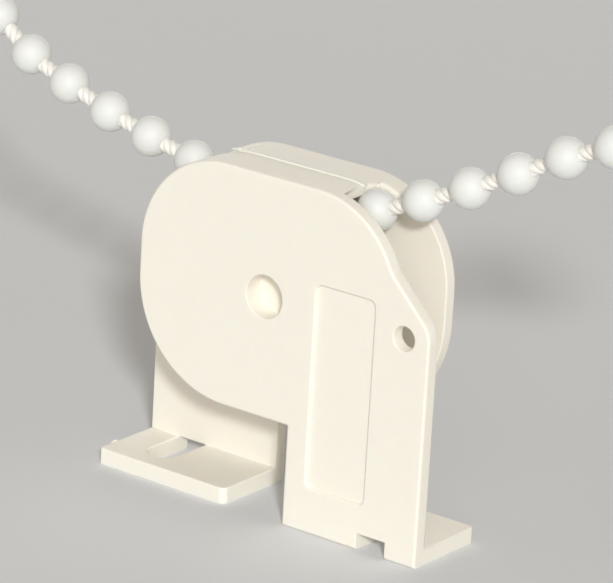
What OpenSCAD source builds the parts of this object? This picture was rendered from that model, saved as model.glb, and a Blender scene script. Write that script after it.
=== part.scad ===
// Child safety tensioner for the ball chain of a blind.
// Two moulded half shells are welded along the roof, turned half a turn from each other.
// Each has one leg with a slotted foot. A grooved pulley turns on the hub inside,
// and the ball chain runs over it, under the roof.
// X runs along the plates, Y through the body from front to rear, Z up from the feet.

/* [Shells] */
// Depth of the body over both plates
body_depth = 10.3; // [10.3:0.1:12]
// Thickness of a side plate
plate_t = 1.6; // [1.4:0.1:1.6]
// Width of the head
head_w = 33; // [32.6:0.2:36]
// Height of the underside of the head above the feet
head_bottom = 10.9; // [9:0.1:12]
// Height of the top of the roof above the feet
head_top = 36.8; // [36.8:0.1:38]
// Radius of the head's upper corners
head_r = 10.6; // [10.4:0.1:10.8]
// Radius of the head's lower corner
head_low_r = 11.8; // [10.6:0.1:12.4]
// Rounding of a plate's outer edge
edge_r = 0.3; // [0.2:0.1:0.8]
// Height of the hub and of the side hole
hub_z = 23.9; // [23.9:0.1:24]

/* [Legs and feet] */
// Inner edge of a leg, from the middle
leg_in = 3.8; // [3:0.1:5]
// Outer edge of a leg, from the middle
leg_out = 20.8; // [20.3:0.1:21.2]
// Distance of the side hole from the middle
ear_x = 17.7; // [17:0.1:18]
// Bore of the side hole
ear_bore_d = 2.6; // [2:0.1:3]
// Radius of the hollow between the ear and the head
shoulder_r = 3; // [2:0.5:4]
// Thickness of a foot
foot_t = 1.8; // [1.4:0.1:2.2]
// Rounding of a foot's outer free corner
foot_out_r = 0.4; // [0.2:0.1:1]
// Rounding of a foot's inner free corner
foot_in_r = 0.8; // [0.4:0.1:2]
// Distance of the screw slot from the middle
slot_x = 15.15; // [13:0.05:16]
// Width of the screw slot
slot_w = 3.6; // [3:0.1:4.2]
// Material left between the slot and the foot's free edge
slot_margin = 2.2; // [1.5:0.1:3]

/* [Sunken panel] */
// Left edge of the panel
panel_x0 = 6.5; // [6:0.1:7]
// Right edge of the panel
panel_x1 = 14; // [13:0.1:14.4]
// Lower edge of the panel
panel_z0 = 4.9; // [4:0.1:6]
// Upper edge of the panel
panel_z1 = 26.9; // [25:0.1:28]
// Depth of the panel
panel_depth = 0.4; // [0.2:0.05:0.5]
// Rounding of the panel's corners
panel_r = 0.8; // [0.4:0.1:1.5]

/* [Roof] */
// Thickness of the roof
roof_t = 1.1; // [0.9:0.05:1.15]
// How far round each corner the full roof runs, in degrees
roof_a = 12.5; // [8:0.5:12.5]
// How far round the corner the roof's lip runs, on the side away from the leg
lip_a = 32; // [25:0.5:34]
// Gap between the front lip and the middle plane
front_lip_gap = 0.8; // [0.8:0.1:1.5]
// Gap between the rear lip and the middle plane
rear_lip_gap = 2.35; // [2.35:0.05:2.6]
// Height of the weld line along the roof
weld_h = 0.15; // [0.1:0.05:0.25]
// Width of the weld line
weld_w = 0.5; // [0.3:0.1:0.8]

/* [Hub and pulley] */
// Diameter of the hub
hub_d = 7.2; // [6.8:0.1:7.2]
// Bore of the hub
hub_bore_d = 4.6; // [4:0.1:4.8]
// Depth of the hub's bore
hub_bore_depth = 2.4; // [2:0.1:4]
// Radial clearance of the pulley on the hub
pulley_fit = 0.06; // [0.02:0.01:0.1]
// Diameter of the pulley's rims
pulley_d = 20.4; // [19:0.1:20.8]
// Radius of the groove's floor section
groove_r = 2.5; // [2.45:0.01:2.55]
// Radius of the circle that the groove's section is centred on
groove_path_r = 9.1; // [9:0.01:9.15]
// Gap between the pulley and each plate at the rim
rim_gap = 0.4; // [0.3:0.05:0.5]
// Gap between the pulley's boss and each thrust ring
boss_gap = 0.05; // [0.05:0.01:0.1]
// Diameter of the thrust ring round the hub
ring_d = 10.4; // [9.5:0.1:11]
// Height of the thrust ring
ring_h = 0.25; // [0.15:0.05:0.3]

/* [Ball chain] */
// Diameter of a ball
ball_d = 4.3; // [4:0.1:4.3]
// Diameter of the cord, over its strands
cord_d = 1.6; // [1.2:0.1:1.8]
// Outer diameter of an end clasp
clasp_d = 6.4; // [6:0.1:6.8]
// Clearance of a ball in a clasp's socket
clasp_fit = 0.08; // [0.05:0.01:0.12]
// Distance between a clasp's two sockets
clasp_pitch = 6; // [5.8:0.1:6.4]
// Length of a clasp beyond the middle of each socket
clasp_end = 3.4; // [3:0.1:4]
// Rounding of a clasp's ends
clasp_edge = 1; // [0.6:0.1:1.4]
// How much narrower a socket's mouth is than the ball, at the radius
clasp_snap = 0.15; // [0.1:0.05:0.3]
// Clearance of the cord in a clasp's slit, on each side
clasp_cord_fit = 0.2; // [0.1:0.05:0.3]

/* [Hidden] */
// The chain's route: the middle of each ball, from the left end to the right end
ROUTE = [
    [-47.0, 0.9, 47.2], [-42.0, 0.7, 43.9], [-37.0, 0.4, 40.7], [-31.4, 0.2, 38.7],
    [-25.6, 0.1, 36.9], [-19.8, 0, 35.5], [-13.9, 0, 34.2], [-8.0, 0, 33.1],
    [-2.0, 0, 32.8], [4.0, 0, 33.0], [9.8, 0, 34.4], [15.4, 0, 36.7],
    [20.8, 0.2, 39.2], [26.2, 0.4, 41.9], [31.5, 0.6, 44.7], [37.0, 0.6, 47.0],
    [42.6, 0.5, 49.1]
];
BALLS = len(ROUTE);
BALL_NAMES = [for (i = [1:BALLS]) str("ball_", i < 10 ? "0" : "", i)];

shell_white = [0.955, 0.94, 0.895];
ball_white = [0.97, 0.97, 0.95];
pulley_white = [0.93, 0.92, 0.89];
clasp_white = [0.93, 0.94, 0.94];

face_y = -body_depth / 2;
inner_y = face_y + plate_t;
foot_y = -face_y;
ear_r = leg_out - ear_x;
corner_x = head_w / 2 - head_r;
corner_top = head_top - head_r;
groove_half = groove_r + 0.15;
past = 1;
arc_steps = 14;
edge_steps = 4;
cord_sides = 8;
rings_a_span = 2;

// The straight shoulder leaves the ear at 45 degrees. Its hollow touches that line
// and the head's corner, and this is the corner's angle where they meet.
shoulder_line = ear_x + hub_z + ear_r * sqrt(2);
shoulder_sum = shoulder_line + shoulder_r * sqrt(2) - corner_x - corner_top;
shoulder_a = asin(shoulder_sum / (head_r + shoulder_r) / sqrt(2)) - 45;

// Points along an arc about c, from step first on
function arc(c, r, a0, a1, steps = arc_steps, first = 0) =
    [for (i = [first:steps]) let (a = a0 + (a1 - a0) * i / steps) c + r * [cos(a), sin(a)]];

// Outline of a plate in X and Z, drawn in by d all round
function plate_outline(d) = let (
        ear = [ear_x, hub_z],
        top = [corner_x, corner_top],
        hollow = top + (head_r + shoulder_r) * [cos(shoulder_a), sin(shoulder_a)])
    concat(
        [[leg_in + d, d], [leg_out - d, d]],
        arc(ear, ear_r - d, 0, 45),
        arc(hollow, shoulder_r + d, 225, 180 + shoulder_a, 4),
        arc(top, head_r - d, shoulder_a, 90 - roof_a, first = 1),
        roof_line(head_r - d),
        lip_line(head_r - d),
        arc([-corner_x, corner_top], head_r - d, 90 + lip_a, 180, first = 1),
        arc([head_low_r - head_w / 2, head_bottom + head_low_r], head_low_r - d, 180, 270, 20),
        [[leg_in + d, head_bottom + d]]);

// The line of the full roof at a radius, from the right corner over the top to the left
// corner, and of the lip that follows it. The plate and the roof share these points.
function roof_line(r) = concat(
    arc([corner_x, corner_top], r, 90 - roof_a, 90, 3),
    arc([-corner_x, corner_top], r, 90, 90 + roof_a, 3));
function lip_line(r) = arc([-corner_x, corner_top], r, 90 + roof_a, 90 + lip_a, 5, first = 1);

function reversed(list) = [for (i = [len(list) - 1:-1:0]) list[i]];
function last_point(list) = list[len(list) - 1];

// Prism along Y of an outline drawn in X and Z
module slab(y0, y1) {
    translate([0, y1, 0]) rotate([90, 0, 0]) linear_extrude(y1 - y0) children();
}

// Round rod along Y
module rod(x, z, y0, y1, r, fn = 64) {
    translate([x, y0, z]) rotate([-90, 0, 0]) cylinder(h = y1 - y0, r = r, $fn = fn);
}

// Plate with its outer edge rounded: each ring is the outline drawn in a little less.
// Each face is a fan about a point above the inner corner, from which all of it shows.
module plate() {
    fan = [leg_in + edge_r + 1, head_bottom + edge_r + 1];
    rings = concat(
        [for (k = [0:edge_steps]) let (a = 90 * k / edge_steps)
            [face_y + edge_r * (1 - cos(a)), edge_r * (1 - sin(a))]],
        [[inner_y, 0]]);
    n = len(plate_outline(0));
    last = len(rings) - 1;
    front = n * len(rings);
    back = front + 1;
    points = concat(
        [for (ring = rings, p = plate_outline(ring[1])) [p[0], ring[0], p[1]]],
        [[fan[0], face_y, fan[1]], [fan[0], inner_y, fan[1]]]);
    sides = [for (k = [0:last - 1], i = [0:n - 1]) let (j = (i + 1) % n)
        [k * n + i, k * n + j, (k + 1) * n + j, (k + 1) * n + i]];
    caps = [for (i = [0:n - 1]) let (j = (i + 1) % n)
        each [[front, j, i], [back, last * n + i, last * n + j]]];
    polyhedron(points, concat(sides, caps), convexity = 6);
}

// Foot with its two free corners rounded, and a screw slot that runs out through the plate
module foot() {
    linear_extrude(foot_t) polygon(concat(
        [[leg_in, inner_y], [leg_out, inner_y]],
        arc([leg_out - foot_out_r, foot_y - foot_out_r], foot_out_r, 0, 90, 6),
        arc([leg_in + foot_in_r, foot_y - foot_in_r], foot_in_r, 90, 180, 6)));
}

module screw_slot() {
    end_y = foot_y - slot_margin - slot_w / 2;
    translate([slot_x, end_y, -past]) cylinder(h = foot_t + past, d = slot_w, $fn = 48);
    translate([slot_x - slot_w / 2, face_y - past, -past])
        cube([slot_w, end_y - face_y + past, foot_t + past]);
}

module panel_recess() {
    slab(face_y - past, face_y + panel_depth) polygon(concat(
        arc([panel_x1 - panel_r, panel_z1 - panel_r], panel_r, 0, 90, 5),
        arc([panel_x0 + panel_r, panel_z1 - panel_r], panel_r, 90, 180, 5),
        arc([panel_x0 + panel_r, panel_z0 + panel_r], panel_r, 180, 270, 5),
        arc([panel_x1 - panel_r, panel_z0 + panel_r], panel_r, 270, 360, 5)));
}

// Half of the roof, up to the middle plane, with its round-ended lip set back from it
module roof(lip_gap) {
    r = head_r - roof_t;
    mid_r = head_r - roof_t / 2;
    tip = [-corner_x, corner_top] + mid_r * [-sin(lip_a), cos(lip_a)];
    slab(inner_y, 0) polygon(concat(roof_line(head_r), reversed(roof_line(r))));
    slab(inner_y, -lip_gap) polygon(concat(
        [last_point(roof_line(head_r))], lip_line(head_r),
        arc(tip, roof_t / 2, 90 + lip_a, 270 + lip_a, 8),
        reversed(lip_line(r)), [last_point(roof_line(r))]));
}

// One moulded half, drawn as the front one
module half_shell(lip_gap) {
    difference() {
        union() {
            plate();
            foot();
            roof(lip_gap);
            rod(0, hub_z, inner_y - plate_t / 2, inner_y + ring_h, ring_d / 2);
            rod(0, hub_z, inner_y - plate_t / 2, 0, hub_d / 2);
        }
        screw_slot();
        panel_recess();
        rod(0, hub_z, face_y - past, face_y + hub_bore_depth, hub_bore_d / 2);
        rod(ear_x, hub_z, face_y - past, inner_y + past, ear_bore_d / 2);
    }
}

// The weld squeezes a thin line of plastic out of the joint
module weld_line() {
    slab(-weld_w / 2, weld_w / 2)
        polygon(concat(roof_line(head_r + weld_h), reversed(roof_line(head_r))));
}

module front_shell() {
    color(shell_white) {
        half_shell(front_lip_gap);
        weld_line();
    }
}

module rear_shell() {
    color(shell_white) rotate([0, 0, 180]) half_shell(rear_lip_gap);
}

// Section of the pulley: radius across, half of its width up, mirrored about the groove
module pulley() {
    bore_r = hub_d / 2 + pulley_fit;
    rim_y = -inner_y - rim_gap;
    boss_y = -inner_y - ring_h - boss_gap;
    groove = arc([groove_path_r, 0], groove_r, 180, 100, 12);
    upper = concat(groove, [[pulley_d / 2, groove_half], [pulley_d / 2, rim_y],
        [ring_d / 2 + 1, rim_y], [ring_d / 2, boss_y], [bore_r, boss_y]]);
    lower = [for (i = [len(upper) - 1:-1:1]) [upper[i][0], -upper[i][1]]];
    color(pulley_white) translate([0, 0, hub_z]) rotate([-90, 0, 0])
        rotate_extrude($fn = 96) polygon(concat(upper, lower));
}

// Smooth curve through the route's points
function curve_point(i, t) = let (
        a = ROUTE[max(i - 1, 0)], b = ROUTE[i], c = ROUTE[i + 1], d = ROUTE[min(i + 2, BALLS - 1)])
    0.5 * (2 * b + (c - a) * t + (2 * a - 5 * b + 4 * c - d) * t * t
        + (3 * b - a - 3 * c + d) * t * t * t);

function unit(v) = v / norm(v);

module chain_cord() {
    line = concat(
        [for (i = [0:BALLS - 2], k = [0:rings_a_span - 1]) curve_point(i, k / rings_a_span)],
        [ROUTE[BALLS - 1]]);
    last = len(line) - 1;
    points = [for (i = [0:last]) let (
            along = unit(line[min(i + 1, last)] - line[max(i - 1, 0)]),
            up = unit(cross(along, [0, 1, 0])),
            side = cross(along, up))
        for (k = [0:cord_sides - 1]) let (a = 360 * k / cord_sides)
            line[i] + cord_d / 2 * (cos(a) * up + sin(a) * side)];
    sides = [for (i = [0:last - 1], k = [0:cord_sides - 1]) let (m = (k + 1) % cord_sides)
        [i * cord_sides + k, i * cord_sides + m, (i + 1) * cord_sides + m, (i + 1) * cord_sides + k]];
    start = [for (k = [cord_sides - 1:-1:0]) k];
    finish = [for (k = [0:cord_sides - 1]) last * cord_sides + k];
    color(ball_white) polyhedron(points, concat(sides, [start, finish]), convexity = 4);
}

module ball(i) {
    color(ball_white) translate(ROUTE[i]) sphere(d = ball_d, $fn = 48);
}

// Snap clasp along X: two sockets a ball's pitch apart, each entered through a mouth
// a little narrower than a ball. The socket at the origin holds the chain's last ball.
module clasp() {
    r = clasp_d / 2;
    length = clasp_pitch + 2 * clasp_end;
    gap = cord_d + 2 * clasp_cord_fit;
    difference() {
        rotate([0, 90, 0]) rotate_extrude($fn = 64) polygon(concat(
            [[0, -clasp_end]],
            arc([r - clasp_edge, clasp_edge - clasp_end], clasp_edge, 270, 360, 6),
            arc([r - clasp_edge, clasp_pitch + clasp_end - clasp_edge], clasp_edge, 0, 90, 6),
            [[0, clasp_pitch + clasp_end]]));
        for (x = [0, clasp_pitch]) translate([x, 0, 0]) {
            rotate([0, 90, 0]) sphere(r = ball_d / 2 + clasp_fit, $fn = 48);
            rotate([90, 0, 0]) cylinder(h = r + past, r = ball_d / 2 - clasp_snap, $fn = 48);
        }
        translate([-clasp_end - past, -r - past, -gap / 2])
            cube([length + 2 * past, r + past + gap / 2, gap]);
    }
}

// Clasp on an end ball, in line with the last stretch of cord
module end_clasp(end, before) {
    along = unit(end - before);
    color(clasp_white) translate(end)
        rotate([0, -asin(along[2]), atan2(along[1], along[0])]) clasp();
}

module left_clasp() { end_clasp(ROUTE[0], ROUTE[1]); }
module right_clasp() { end_clasp(ROUTE[BALLS - 1], ROUTE[BALLS - 2]); }

front_shell();
rear_shell();
pulley();
chain_cord();
for (i = [0:BALLS - 1]) ball(i);
left_clasp();
right_clasp();
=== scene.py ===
"""Looks of a blind's child safety tensioner with its ball chain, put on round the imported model."""

import math

import bmesh
import bpy
import numpy as np
from mathutils import Matrix, Vector


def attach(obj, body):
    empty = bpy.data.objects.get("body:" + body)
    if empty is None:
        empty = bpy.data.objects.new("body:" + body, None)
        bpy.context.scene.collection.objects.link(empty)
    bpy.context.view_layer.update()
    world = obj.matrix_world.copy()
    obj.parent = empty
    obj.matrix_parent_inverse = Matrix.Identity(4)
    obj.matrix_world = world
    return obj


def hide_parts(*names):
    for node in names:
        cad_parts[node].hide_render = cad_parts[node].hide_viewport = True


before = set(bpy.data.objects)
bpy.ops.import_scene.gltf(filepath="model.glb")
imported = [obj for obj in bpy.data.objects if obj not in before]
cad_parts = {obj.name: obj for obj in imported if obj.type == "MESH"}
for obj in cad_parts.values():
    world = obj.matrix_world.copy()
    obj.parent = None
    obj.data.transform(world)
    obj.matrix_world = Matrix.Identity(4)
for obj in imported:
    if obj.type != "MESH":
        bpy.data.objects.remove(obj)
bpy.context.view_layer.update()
MM = 0.001

# Camera. It looks down on the tensioner from the right front, tilted a little to one side, as far off
# as the photograph was taken. A long lens fills the picture with the housing and the nearest balls.
CAMERA_AZIMUTH = math.radians(36.47)
CAMERA_ELEVATION = math.radians(18.58)
CAMERA_ROLL = math.radians(3.35)
CAMERA_AIM = Vector((0.56, 1.32, 23.12)) * MM
CAMERA_DISTANCE = 428.6 * MM
CAMERA_LENS = 244.27

camera_back = Vector((
    math.sin(CAMERA_AZIMUTH) * math.cos(CAMERA_ELEVATION),
    -math.cos(CAMERA_AZIMUTH) * math.cos(CAMERA_ELEVATION),
    math.sin(CAMERA_ELEVATION),
))
level_right = Vector((math.cos(CAMERA_AZIMUTH), math.sin(CAMERA_AZIMUTH), 0))
level_up = camera_back.cross(level_right)
camera_right = math.cos(CAMERA_ROLL) * level_right + math.sin(CAMERA_ROLL) * level_up
camera_up = math.cos(CAMERA_ROLL) * level_up - math.sin(CAMERA_ROLL) * level_right
camera = bpy.data.objects.new("camera", bpy.data.cameras.new("camera"))
camera.data.lens = CAMERA_LENS
camera.data.clip_start, camera.data.clip_end = 0.02, 20
camera.matrix_world = (
    Matrix.Translation(CAMERA_AIM + CAMERA_DISTANCE * camera_back)
    @ Matrix((camera_right, camera_up, camera_back)).transposed().to_4x4()
)
bpy.context.scene.collection.objects.link(camera)
bpy.context.scene.camera = camera

# Cord of the ball chain. Three polyester strands with a right-hand twist run through every ball and
# over the pulley. The blind holds both free ends taut, in clasps just outside the picture.
ROUTE = MM * np.array([
    [-47.0, 0.9, 47.2], [-42.0, 0.7, 43.9], [-37.0, 0.4, 40.7], [-31.4, 0.2, 38.7],
    [-25.6, 0.1, 36.9], [-19.8, 0, 35.5], [-13.9, 0, 34.2], [-8.0, 0, 33.1],
    [-2.0, 0, 32.8], [4.0, 0, 33.0], [9.8, 0, 34.4], [15.4, 0, 36.7],
    [20.8, 0.2, 39.2], [26.2, 0.4, 41.9], [31.5, 0.6, 44.7], [37.0, 0.6, 47.0],
    [42.6, 0.5, 49.1],
])
LEFT_EXIT, RIGHT_EXIT = 6, 10
CORD_DIAMETER = 1.6 * MM
CORD_PITCH = 2.7 * MM
CORD_PHASE = 0.6
STRANDS = 3
STRAND_RADIUS = 0.45 * MM
STRAND_SIDES = 14
RINGS_A_SPAN = 36


class Flow:
    """A socket of a material's nodes. Sums and products on it add Math nodes, and node() adds any other."""

    def __init__(self, tree, socket):
        self.tree, self.socket = tree, socket

    def node(self, kind, settings, sockets, out=0):
        """Adds a node with its settings, then its sockets' values or links, and gives one of its outputs."""
        made = self.tree.nodes.new(kind)
        for name, value in settings.items():
            setattr(made, name, value)
        for name, value in sockets.items():
            if isinstance(value, Flow):
                self.tree.links.new(value.socket, made.inputs[name])
            else:
                made.inputs[name].default_value = value
        return Flow(self.tree, made.outputs[out])

    def math(self, operation, a, b):
        """Adds a Math node for two values or sockets."""
        return self.node("ShaderNodeMath", {"operation": operation}, {0: a, 1: b})

    def __add__(self, other): return self.math("ADD", self, other)
    def __radd__(self, other): return self.math("ADD", other, self)
    def __rmul__(self, other): return self.math("MULTIPLY", other, self)

    def mix(self, low, high):
        """Colour that goes from low to high as this value goes from 0 to 1."""
        return self.node("ShaderNodeMix", {"data_type": "RGBA"}, {0: self, 6: low, 7: high}, 2)

    def noise(self, scale, detail=2.0, roughness=0.5):
        """Noise from 0 to 1 on this vector, with that many cells to the metre, or to a unit of a UV map."""
        return self.node("ShaderNodeTexNoise", {},
                         {"Vector": self, "Scale": scale, "Detail": detail, "Roughness": roughness})

    def stretched(self, factors):
        """This vector times a factor on each axis."""
        return self.node("ShaderNodeMapping", {"vector_type": "POINT"}, {"Vector": self, "Scale": factors})

    def bump(self, strength, distance):
        """Normal of a surface that this height lifts, by distance where it is 1."""
        return self.node("ShaderNodeBump", {}, {"Height": self, "Strength": strength, "Distance": distance})


def new_finish(name, texture_output="Object"):
    """A material with one Principled shader, and the Flow of its object coordinates or UV map."""
    finish = bpy.data.materials.new(name)
    finish.use_nodes = True
    tree = finish.node_tree
    shader = tree.nodes["Principled BSDF"]
    where = tree.nodes.new("ShaderNodeTexCoord").outputs[texture_output]
    return finish, shader, Flow(tree, where)


def feed(shader, values):
    """Sets the shader's sockets: a Flow is linked, and anything else is a constant."""
    for name, value in values.items():
        if isinstance(value, Flow):
            value.tree.links.new(value.socket, shader.inputs[name])
        else:
            shader.inputs[name].default_value = value


def smooth_line(points, steps):
    """Catmull-Rom curve, as the model's cord has it. Between b and c, whose neighbours are a and d:
    half of 2b + (c - a) t + (2a - 5b + 4c - d) t^2 + (3b - a - 3c + d) t^3."""
    a = np.vstack([points[:1], points[:-2]])[:, None]
    b, c = points[:-1][:, None], points[1:][:, None]
    d = np.vstack([points[2:], points[-1:]])[:, None]
    t = np.linspace(0, 1, steps, endpoint=False)[None, :, None]
    curve = 0.5 * (
        2 * b + (c - a) * t + (2 * a - 5 * b + 4 * c - d) * t**2 + (3 * b - a - 3 * c + d) * t**3)
    return np.vstack([curve.reshape(-1, 3), points[-1:]])


def unit(vectors):
    """Each vector divided by its length."""
    return vectors / np.linalg.norm(vectors, axis=-1, keepdims=True)


def line_frame(line):
    """Directions at each point of a line near the X-Z plane: along it, to its side, which is Y made
    square to it, and up, which is along x side."""
    along = unit(np.gradient(line, axis=0))
    side = unit(np.array([0.0, 1.0, 0.0]) - along * along[:, 1:2])
    return along, side, np.cross(along, side)


def tube_mesh(name, tubes):
    """Mesh of closed tubes. Each tube is an array of rings, and each ring of points; quads join point k
    and k + 1 of a ring to those of the next one, and each end is a fan about the ring's middle.
    The UV map has the length along the tube in millimetres, and the share of a turn round it."""
    points, faces, uvs, start = [], [], [], 0
    for rings in tubes:
        count, sides = rings.shape[:2]
        k = np.arange(sides)
        m = (k + 1) % sides
        base = start + sides * np.arange(count - 1)[:, None]
        quads = np.stack([base + k, base + sides + k, base + sides + m, base + m], -1).reshape(-1, 4)
        middle = rings.mean(axis=1)
        length = np.r_[0, np.cumsum(np.linalg.norm(np.diff(middle, axis=0), axis=1))] / MM
        u = np.stack([length[:-1], length[1:], length[1:], length[:-1]], -1)[:, None].repeat(sides, 1)
        v = np.stack([k, k, k + 1, k + 1], -1)[None].repeat(count - 1, 0) / sides
        uvs.append(np.stack([u, v], -1).reshape(-1, 2))
        first, last = start + count * sides, start + count * sides + 1
        end = start + (count - 1) * sides
        fans = np.vstack([
            np.stack([start + k, start + m, np.full(sides, first)], -1),
            np.stack([end + m, end + k, np.full(sides, last)], -1),
        ])
        uvs.append(np.tile([[0.0, 0.0]], (fans.size, 1)))
        points += [rings.reshape(-1, 3), middle[:1], middle[-1:]]
        faces += quads.tolist() + fans.tolist()
        start += count * sides + 2
    mesh = bpy.data.meshes.new(name)
    mesh.from_pydata(np.vstack(points).tolist(), [], faces)
    mesh.uv_layers.new(name="surface").data.foreach_set("uv", np.vstack(uvs).astype(np.float32).ravel())
    mesh.polygons.foreach_set("use_smooth", [True] * len(faces))
    return mesh


def add_piece(name, mesh, finish, body):
    """Puts a mesh into the scene as a piece that rides on a body and has a finish."""
    mesh.materials.clear()
    mesh.materials.append(finish)
    piece = bpy.data.objects.new(name, mesh)
    bpy.context.scene.collection.objects.link(piece)
    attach(piece, body)
    return piece


def cord_finish():
    """Polyester yarn: fine filaments run along each strand, and the shade wanders a little with them."""
    finish, shader, where = new_finish("twisted_polyester", "UV")
    filaments = where.stretched((1.4, 16, 1)).noise(1.0, 3, 0.6)
    shade = where.stretched((3, 2, 1)).noise(1.0)
    feed(shader, {
        "Base Color": (0.6 * filaments + 0.4 * shade).mix((0.83, 0.80, 0.72, 1), (0.93, 0.91, 0.86, 1)),
        "Roughness": 0.55 + 0.2 * shade,
        "Normal": filaments.bump(0.5, 0.05 * MM),
        "Sheen Weight": 0.25,
        "Subsurface Weight": 0.2,
        "Subsurface Radius": (0.9, 0.8, 0.6),
        "Subsurface Scale": 0.6 * MM,
    })
    return finish


def strand_rings(line, turn):
    """A strand's rings: its middle circles the cord's line as a right-hand helix, and each ring is a
    circle square to that helix, begun on the cord's inside."""
    along, side, up = line_frame(line)
    length = np.r_[0, np.cumsum(np.linalg.norm(np.diff(line, axis=0), axis=1))]
    angle = (2 * math.pi * length / CORD_PITCH + turn)[:, None]
    outward = np.cos(angle) * side + np.sin(angle) * up
    middle = line + (CORD_DIAMETER / 2 - STRAND_RADIUS) * outward
    ahead = unit(np.gradient(middle, axis=0))
    across = unit(np.cross(ahead, outward))
    round_it = (math.pi + 2 * math.pi * np.arange(STRAND_SIDES) / STRAND_SIDES)[None, :, None]
    ring = np.cos(round_it) * outward[:, None] + np.sin(round_it) * across[:, None]
    return middle[:, None] + STRAND_RADIUS * ring


cord_line = smooth_line(ROUTE, RINGS_A_SPAN)
strands = [strand_rings(cord_line, CORD_PHASE + 2 * math.pi * i / STRANDS) for i in range(STRANDS)]
polyester = cord_finish()
left_cut, right_cut = LEFT_EXIT * RINGS_A_SPAN, RIGHT_EXIT * RINGS_A_SPAN


def cord_piece(name, start, stop):
    """The cord from one ring to another, all strands in one mesh."""
    parts = [strand[start:stop + 1] for strand in strands]
    return add_piece(name, tube_mesh(name, parts), polyester, "housing")


cord_left = cord_piece("cord_left", 0, left_cut)
cord_inside = cord_piece("cord_inside", left_cut, right_cut)
cord_right = cord_piece("cord_right", right_cut, len(cord_line) - 1)
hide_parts("chain_cord")

# Balls. Each is white plastic moulded on the cord in a two-part tool, so it is a sphere with a flat
# where the cord enters, and with the tool's hair-thin parting line on both sides.
BALL_RADIUS = 2.15 * MM
BALL_FLAT = 0.98 * MM
PARTING_HEIGHT = 0.012 * MM
PARTING_WIDTH = 0.07 * MM
PARTING_TURN = 0.5
BALL_ROWS, BALL_COLUMNS = 34, 64
FIRST_ROW = 0.06
COLUMN_CROWDING = 0.4


def ball_rings(centre, along, side, up):
    """Rings about the cord: at angle a from it the ring has radius R sin a and stands R cos a along it,
    but no further than where the flat starts. Columns crowd at the parting plane, and the radius grows
    there by height times exp(-(distance to that plane / width)^2)."""
    polar = np.linspace(FIRST_ROW, math.pi - FIRST_ROW, BALL_ROWS)[:, None]
    even = 2 * math.pi * np.arange(BALL_COLUMNS)[None, :] / BALL_COLUMNS
    turn = even - COLUMN_CROWDING * np.sin(2 * even)
    from_plane = BALL_RADIUS * np.sin(polar) * np.sin(turn)
    radius = BALL_RADIUS + PARTING_HEIGHT * np.exp(-(from_plane / PARTING_WIDTH) ** 2)
    reach = math.sqrt(BALL_RADIUS**2 - BALL_FLAT**2)
    ahead = np.clip(radius * np.cos(polar), -reach, reach)[..., None]
    spread = (radius * np.sin(polar))[..., None]
    turn = (turn + PARTING_TURN)[..., None]
    return centre + ahead * along + spread * (np.cos(turn) * side + np.sin(turn) * up)


def ball_finish():
    """Satin white plastic, a shade cooler than the shells, with a faint flow mottle and tool polish."""
    finish, shader, where = new_finish("ball_plastic")
    mottle = where.noise(420, 2)
    polish = where.noise(6000, 2)
    feed(shader, {
        "Base Color": mottle.mix((0.755, 0.77, 0.745, 1), (0.775, 0.79, 0.77, 1)),
        "Roughness": 0.46 + 0.10 * polish,
        "Specular IOR Level": 0.35,
        "Normal": (0.7 * mottle + 0.3 * polish).bump(0.15, 0.05 * MM),
        "Subsurface Weight": 0.25,
        "Subsurface Radius": (1.0, 0.85, 0.6),
        "Subsurface Scale": 1.2 * MM,
    })
    return finish


ball_plastic = ball_finish()
cord_frame = line_frame(cord_line)
for i, centre in enumerate(ROUTE):
    directions = [axis[i * RINGS_A_SPAN] for axis in cord_frame]
    node = f"ball_{i + 1:02d}"
    mesh = tube_mesh(node, [ball_rings(centre, *directions)])
    ball = add_piece("chain_" + node, mesh, ball_plastic, "housing")
    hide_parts(node)

# Clasps. Each is a clear-white snap barrel that takes a ball at either end. Moulded in one piece, it
# is copied from the model, with its edges rounded as they come from the tool.
CLASP_EDGE = 0.04 * MM
MERGE_DISTANCE = 0.002 * MM
FLAT_ANGLE = math.radians(0.6)
SHARP_ANGLE = math.radians(35)
LARGEST_EDGE = 0.6 * MM
EDGE_SEGMENTS = 4
FLAT_FACES_WEIGHT = 100


def merged_copy(node, edge_radius):
    """The model's loose triangles as one closed mesh, with flat regions joined up again. Each sharp edge
    is marked with its rounding, which edge_radius gives for the edge's middle, or as a crease where
    that is 0."""
    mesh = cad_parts[node].data.copy()
    work = bmesh.new()
    work.from_mesh(mesh)
    bmesh.ops.remove_doubles(work, verts=work.verts, dist=MERGE_DISTANCE)
    bmesh.ops.dissolve_limit(work, angle_limit=FLAT_ANGLE, verts=work.verts, edges=work.edges)
    rounding = work.edges.layers.float.new("bevel_weight_edge")
    for edge in work.edges:
        if edge.calc_face_angle(0) > SHARP_ANGLE:
            middle = (edge.verts[0].co + edge.verts[1].co) / 2
            edge[rounding] = edge_radius(middle) / LARGEST_EDGE
            edge.smooth = edge[rounding] > 0
    work.to_mesh(mesh)
    work.free()
    mesh.polygons.foreach_set("use_smooth", [True] * len(mesh.polygons))
    return mesh


def moulded_piece(name, node, finish, body, edge_radius):
    """A copy of a node with its sharp edges rounded, which stands for the node."""
    piece = add_piece(name, merged_copy(node, edge_radius), finish, body)
    bevel = piece.modifiers.new("rounded_edges", "BEVEL")
    bevel.limit_method, bevel.width, bevel.segments = "WEIGHT", LARGEST_EDGE, EDGE_SEGMENTS
    bevel.use_clamp_overlap = False
    shading = piece.modifiers.new("flat_faces_lead", "WEIGHTED_NORMAL")
    shading.weight, shading.keep_sharp = FLAT_FACES_WEIGHT, True
    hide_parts(node)
    return piece


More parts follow.
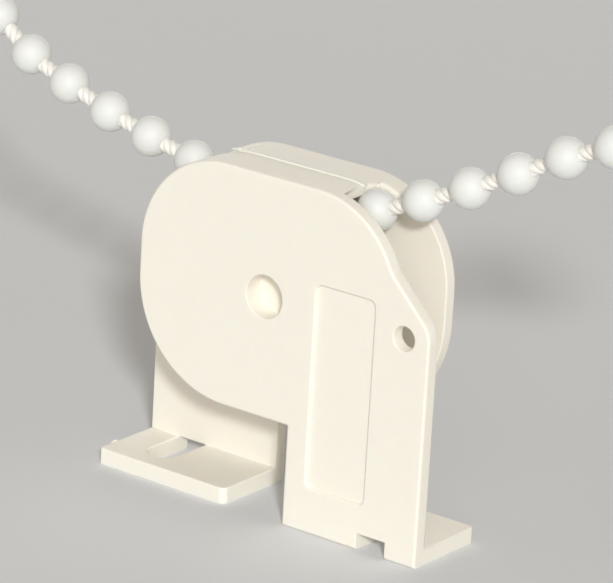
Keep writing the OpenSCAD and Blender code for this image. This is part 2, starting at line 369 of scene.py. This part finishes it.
def clasp_finish():
    """Milky plastic with a gloss, clouded a little by the mould's flow."""
    finish, shader, where = new_finish("clasp_plastic")
    cloud = where.noise(300, 3)
    feed(shader, {
        "Base Color": cloud.mix((0.82, 0.83, 0.83, 1), (0.89, 0.90, 0.89, 1)),
        "Roughness": 0.25 + 0.12 * cloud,
        "Normal": cloud.bump(0.1, 0.05 * MM),
        "Subsurface Weight": 0.35,
        "Subsurface Radius": (1.0, 0.95, 0.85),
        "Subsurface Scale": 1.5 * MM,
    })
    return finish


clasp_plastic = clasp_finish()
left_clasp, right_clasp = (
    moulded_piece(name, node, clasp_plastic, "housing", lambda middle: CLASP_EDGE)
    for name, node in (("clasp_left", "left_clasp"), ("clasp_right", "right_clasp")))


# Pulley. It is turned by the chain and runs on the two hub halves, between the plates. It is moulded
# in one piece of a slightly greyer plastic.
PULLEY_EDGE = 0.1 * MM


def pulley_finish():
    """Low-friction plastic: waxy and even, with a faint grain."""
    finish, shader, where = new_finish("pulley_plastic")
    cloud = where.noise(260, 2)
    grain = where.noise(5000, 2)
    feed(shader, {
        "Base Color": cloud.mix((0.80, 0.79, 0.74, 1), (0.86, 0.85, 0.80, 1)),
        "Roughness": 0.40 + 0.12 * grain,
        "Normal": grain.bump(0.12, 0.03 * MM),
        "Subsurface Weight": 0.2,
        "Subsurface Radius": (1.0, 0.9, 0.7),
        "Subsurface Scale": 1.0 * MM,
    })
    return finish


pulley_plastic = pulley_finish()
moulded_piece("pulley_wheel", "pulley", pulley_plastic, "pulley", lambda middle: PULLEY_EDGE)

# Half shells. Each is cream-white plastic moulded in one piece: plate, leg, slotted foot, half roof
# and half hub. The two are welded along the roof, the rear one turned half a turn.
SHELL_EDGE = 0.14 * MM
HUB_EDGE = 0.07 * MM
LIP_EDGE = 0.42 * MM
ROOF_END_EDGE = 0.5 * MM
HUB_HEIGHT, HUB_REACH, HUB_DEPTH = 23.9 * MM, 5.6 * MM, 4 * MM
PLATE_INSIDE_Y = 3.55 * MM
ROOF_CORNER = (5.9 * MM, 26.2 * MM)
ROOF_UNDER, ROOF_TOP = 9.4 * MM, 10.55 * MM
ROOF_END_X = 8.19 * MM
WELD_HALF = 0.26 * MM
LIP_START_X = 8.09 * MM
LIP_TIP_X = (11.3 * MM, 12.8 * MM)
LIP_PLANES = (2.35 * MM, -0.8 * MM)
NEAR = 0.05 * MM


def shell_edge(middle):
    """Rounding of a shell's edge. The weld, the tip of a lip and a foot's underside stay as they are. The
    roof's ends and its lips are broad, the hub is fine, and everything else is moderate. The distance
    from the middle line of the roof's rounded corner tells the roof from the rest. A lip is on the side
    where x and y have the same sign, in either shell."""
    x, y, z = middle
    to_corner = math.hypot(max(abs(x) - ROOF_CORNER[0], 0), z - ROOF_CORNER[1])
    if z < NEAR:
        return 0
    if z > ROOF_CORNER[1] and to_corner > ROOF_UNDER:
        lip_x = math.copysign(x, x * y)
        if abs(y) < WELD_HALF:
            return 0
        if LIP_TIP_X[0] < lip_x < LIP_TIP_X[1] and abs(abs(y) - PLATE_INSIDE_Y) < NEAR:
            return 0
        if lip_x > LIP_START_X and min(abs(y - plane) for plane in LIP_PLANES) < NEAR:
            return LIP_EDGE
        if abs(abs(x) - ROOF_END_X) < NEAR and to_corner > ROOF_TOP:
            return ROOF_END_EDGE
    if math.hypot(x, z - HUB_HEIGHT) < HUB_REACH and abs(y) < HUB_DEPTH:
        return HUB_EDGE
    return SHELL_EDGE


def shell_finish():
    """Cream-white moulded plastic: a broad flow mottle, a fine grain from the tool and a satin gloss."""
    finish, shader, where = new_finish("shell_plastic")
    cloud = where.noise(110, 3)
    mottle = where.noise(900, 3)
    grain = where.noise(7000, 2)
    tone = 0.55 * cloud + 0.45 * mottle
    feed(shader, {
        "Base Color": tone.mix((0.885, 0.845, 0.755, 1), (0.91, 0.88, 0.79, 1)),
        "Roughness": 0.48 + 0.10 * cloud + 0.08 * grain,
        "Specular IOR Level": 0.35,
        "Normal": (0.6 * mottle + 0.4 * grain).bump(0.25, 0.04 * MM),
        "Subsurface Weight": 0.25,
        "Subsurface Radius": (1.0, 0.6, 0.35),
        "Subsurface Scale": 1.0 * MM,
    })
    return finish


shell_plastic = shell_finish()
moulded_piece("shell_front", "front_shell", shell_plastic, "housing", shell_edge)
moulded_piece("shell_rear", "rear_shell", shell_plastic, "housing", shell_edge)

# Flash. Two thin ragged ridges of the shells' plastic: one was squeezed out at the left end of the
# weld, and the other was left by the mould on the rear shell's foot.
FLASH_SIDES, FLASH_RINGS = 10, 48


def ragged_ridge(name, ends, height, half_width, sag):
    """A ridge from one end to the other, which hangs down by sag at both. For u from 0 to 1 its height is
    the given one times 0.6 + 0.15 (sin 17u + sin 41u + sin 71u), and its half width the given one times
    0.8 + 0.2 sin 29u. Both close at the ends as the root of the sine of half a turn."""
    u = np.linspace(0, 1, FLASH_RINGS)[:, None]
    a, b = (MM * np.array(end) for end in ends)
    up = np.array([0.0, 0.0, 1.0])
    line = a + (b - a) * u - sag * (2 * u - 1) ** 2 * up
    side = unit(np.cross(b - a, up))
    close = np.sqrt(np.sin(math.pi * (0.02 + 0.96 * u)))
    tall = height * close * (0.6 + 0.15 * (np.sin(17 * u) + np.sin(41 * u) + np.sin(71 * u)))
    wide = half_width * close * (0.8 + 0.2 * np.sin(29 * u))
    turn = (2 * math.pi * np.arange(FLASH_SIDES) / FLASH_SIDES)[None, :, None]
    rings = line[:, None] + np.cos(turn) * tall[:, None] * up + np.sin(turn) * wide[:, None] * side
    return add_piece(name, tube_mesh(name, [rings]), shell_plastic, "housing")


WELD_FLASH_ENDS = ([-9.1, 0.05, 36.57], [-6.9, 0.05, 36.86])
FOOT_FLASH_ENDS = ([-20.78, -3.3, 1.8], [-20.78, -2.1, 1.8])
ragged_ridge("weld_flash", WELD_FLASH_ENDS, height=0.30 * MM, half_width=0.2 * MM, sag=0.02 * MM)
ragged_ridge("foot_flash", FOOT_FLASH_ENDS, height=0.26 * MM, half_width=0.12 * MM, sag=0.06 * MM)

# Studio. A plain pale floor lies under the feet. The main lamp is at the right front, as soft as a flash
# behind a diffuser, with weak ones at the camera's side, above, left and behind, in a pale room.
FLOOR_SIZE = 6.0
FLOOR_COLOUR = (0.74, 0.75, 0.77, 1)
FLOOR_SHADE = 0.98
ROOM_COLOUR = (0.80, 0.81, 0.83, 1)
ROOM_LIGHT = (0.84, 0.77, 0.66, 1)
ROOM_FILL = 0.38
LAMPS = {
    "main_lamp": (Vector((0.610, -0.667, 0.427)), 1.98, math.radians(6)),
    "front_lamp": (Vector((0.56, -0.80, 0.14)), 0.46, math.radians(30)),
    "top_lamp": (Vector((0.35, -0.60, 0.72)), 0.22, math.radians(40)),
    "left_lamp": (Vector((-0.55, -0.82, 0.15)), 0.18, math.radians(40)),
    "back_lamp": (Vector((-0.55, 0.83, 0.06)), 0.9, math.radians(40)),
}


def floor_finish():
    """Matt pale board, a little uneven in tone."""
    finish, shader, where = new_finish("floor_board")
    cloud = where.noise(6, 2)
    low = [FLOOR_SHADE * c for c in FLOOR_COLOUR[:3]] + [1]
    feed(shader, {"Base Color": cloud.mix(low, FLOOR_COLOUR), "Roughness": 0.85, "Specular IOR Level": 0.2})
    return finish


half = FLOOR_SIZE / 2
floor_corners = [(-half, -half, 0), (half, -half, 0), (half, half, 0), (-half, half, 0)]
floor_mesh = bpy.data.meshes.new("floor")
floor_mesh.from_pydata(floor_corners, [], [(0, 1, 2, 3)])
floor_mesh.materials.append(floor_finish())
floor = bpy.data.objects.new("floor", floor_mesh)
bpy.context.scene.collection.objects.link(floor)

for name, (direction, strength, angle) in LAMPS.items():
    lamp = bpy.data.objects.new(name, bpy.data.lights.new(name, "SUN"))
    lamp.data.energy, lamp.data.angle = strength, angle
    lamp.rotation_mode = "QUATERNION"
    lamp.rotation_quaternion = direction.to_track_quat("Z", "Y")
    bpy.context.scene.collection.objects.link(lamp)

world = bpy.data.worlds.new("room")
bpy.context.scene.world = world
world.use_nodes = True
background = world.node_tree.nodes["Background"]
sky = Flow(world.node_tree, background.outputs[0])
camera_ray, glossy_ray, transmission_ray = (
    sky.node("ShaderNodeLightPath", {}, {}, kind)
    for kind in ("Is Camera Ray", "Is Glossy Ray", "Is Transmission Ray"))
seen = camera_ray + glossy_ray + transmission_ray
world.node_tree.links.new(seen.mix(ROOM_LIGHT, ROOM_COLOUR).socket, background.inputs["Color"])
world.node_tree.links.new((ROOM_FILL + (1 - ROOM_FILL) * seen).socket, background.inputs["Strength"])

bpy.context.scene.view_settings.view_transform = "Standard"
